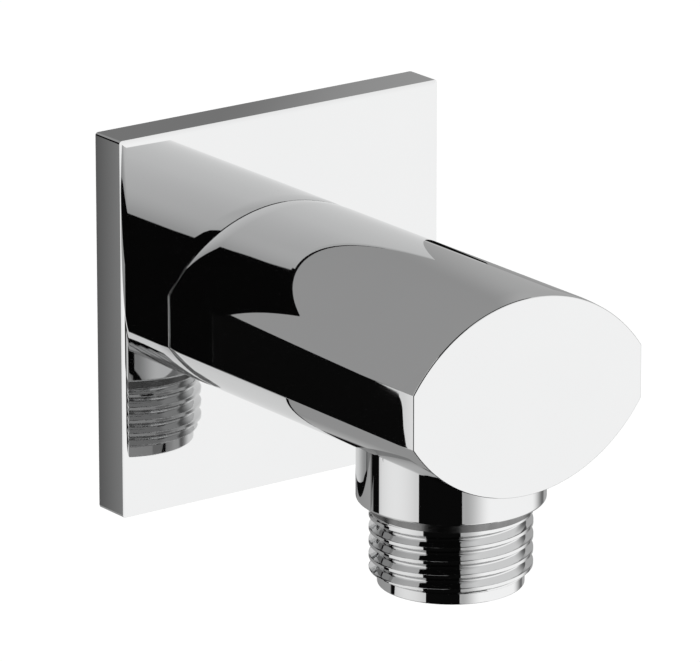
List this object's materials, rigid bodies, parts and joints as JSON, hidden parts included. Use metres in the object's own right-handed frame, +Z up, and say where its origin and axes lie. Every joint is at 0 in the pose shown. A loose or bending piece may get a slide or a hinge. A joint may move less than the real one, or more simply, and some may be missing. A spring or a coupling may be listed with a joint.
{
  "type": "shower hose wall outlet elbow",
  "caption": "Wall outlet elbow for a shower hose: square cover plate, lens-section bar body and a downward threaded outlet with a sprung check valve inside.",
  "frame": {"origin": "where the axis of the inlet meets the wall, on the rear plane of the wall plate", "axes": "+Y into the wall along the inlet thread, -Y out along the body, +Z up, the outlet points along -Z"},
  "size_m": [0.05, 0.074, 0.0533],
  "materials": {
    "chrome": "polished chrome plate on brass",
    "brass": "turned, unplated",
    "steel": "stainless, plain",
    "seal_rubber": "moulded, satin",
    "foam": "closed-cell foam, cut",
    "washer_fibre": "pressed fibre, dull",
    "valve_plastic": "moulded, satin",
    "poppet_plastic": "moulded, satin"
  },
  "bodies": {
    "elbow": {"escutcheon": "chrome", "escutcheon_gasket": "foam", "elbow_body": "chrome", "escutcheon_o_ring": "seal_rubber", "wall_nipple": "brass", "nipple_o_ring_rear": "seal_rubber", "nipple_o_ring_front": "seal_rubber", "grub_screw": "steel", "outlet_washer": "washer_fibre", "outlet_nipple": "chrome", "check_valve_housing": "valve_plastic", "check_valve_o_ring": "seal_rubber", "check_valve_cage": "valve_plastic", "check_valve_spring": "steel"},
    "poppet": {"check_valve_poppet": "poppet_plastic", "poppet_seal": "seal_rubber"}
  },
  "joints": [
    {"name": "check_valve_slide", "type": "slide", "parent": "elbow", "child": "poppet", "axis": [0, 0, -1], "range_m": [0, 0.0033], "stiffness_N_per_m": 40, "springref_m": -0.003, "deforming": ["check_valve_spring"]}
  ]
}
